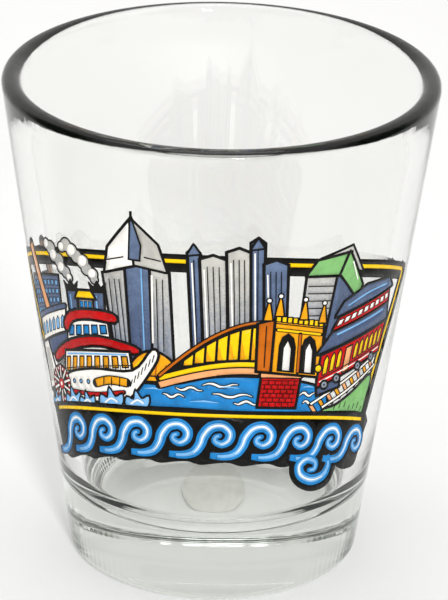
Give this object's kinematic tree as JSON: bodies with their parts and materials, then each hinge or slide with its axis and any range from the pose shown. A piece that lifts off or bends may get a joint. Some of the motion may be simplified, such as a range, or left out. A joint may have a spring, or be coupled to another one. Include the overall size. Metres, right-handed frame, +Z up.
{
  "type": "shot glass",
  "caption": "Small conical souvenir shot glass with a thick base and a wrap-around fired print of a riverside town, open at the top.",
  "frame": {"origin": "centre of the ring that the glass stands on", "axes": "+Z up along the glass's axis, out of its mouth; the print faces -Y"},
  "size_m": [0.0508, 0.0508, 0.0598],
  "materials": {
    "clear_glass": "fire-polished, clear with a faint green cast",
    "sticker_paper": "matt uncoated paper",
    "black_ink": "fired glossy enamel ink",
    "white_ink": "fired glossy enamel ink",
    "blue_ink": "fired glossy enamel ink",
    "pale_blue_ink": "fired glossy enamel ink",
    "yellow_ink": "fired glossy enamel ink",
    "amber_ink": "fired glossy enamel ink",
    "red_ink": "fired glossy enamel ink",
    "light_grey_ink": "fired glossy enamel ink",
    "slate_ink": "fired glossy enamel ink",
    "green_ink": "fired glossy enamel ink",
    "tan_ink": "fired glossy enamel ink",
    "brown_ink": "fired glossy enamel ink"
  },
  "bodies": {
    "root": {"glass_body": "clear_glass", "underside_sticker": "sticker_paper", "ink_black": "black_ink", "ink_white": "white_ink", "ink_blue": "blue_ink", "ink_pale_blue": "pale_blue_ink", "ink_yellow": "yellow_ink", "ink_amber": "amber_ink", "ink_red": "red_ink", "ink_light_grey": "light_grey_ink", "ink_slate": "slate_ink", "ink_green": "green_ink", "ink_tan": "tan_ink", "ink_brown": "brown_ink"}
  },
  "joints": []
}
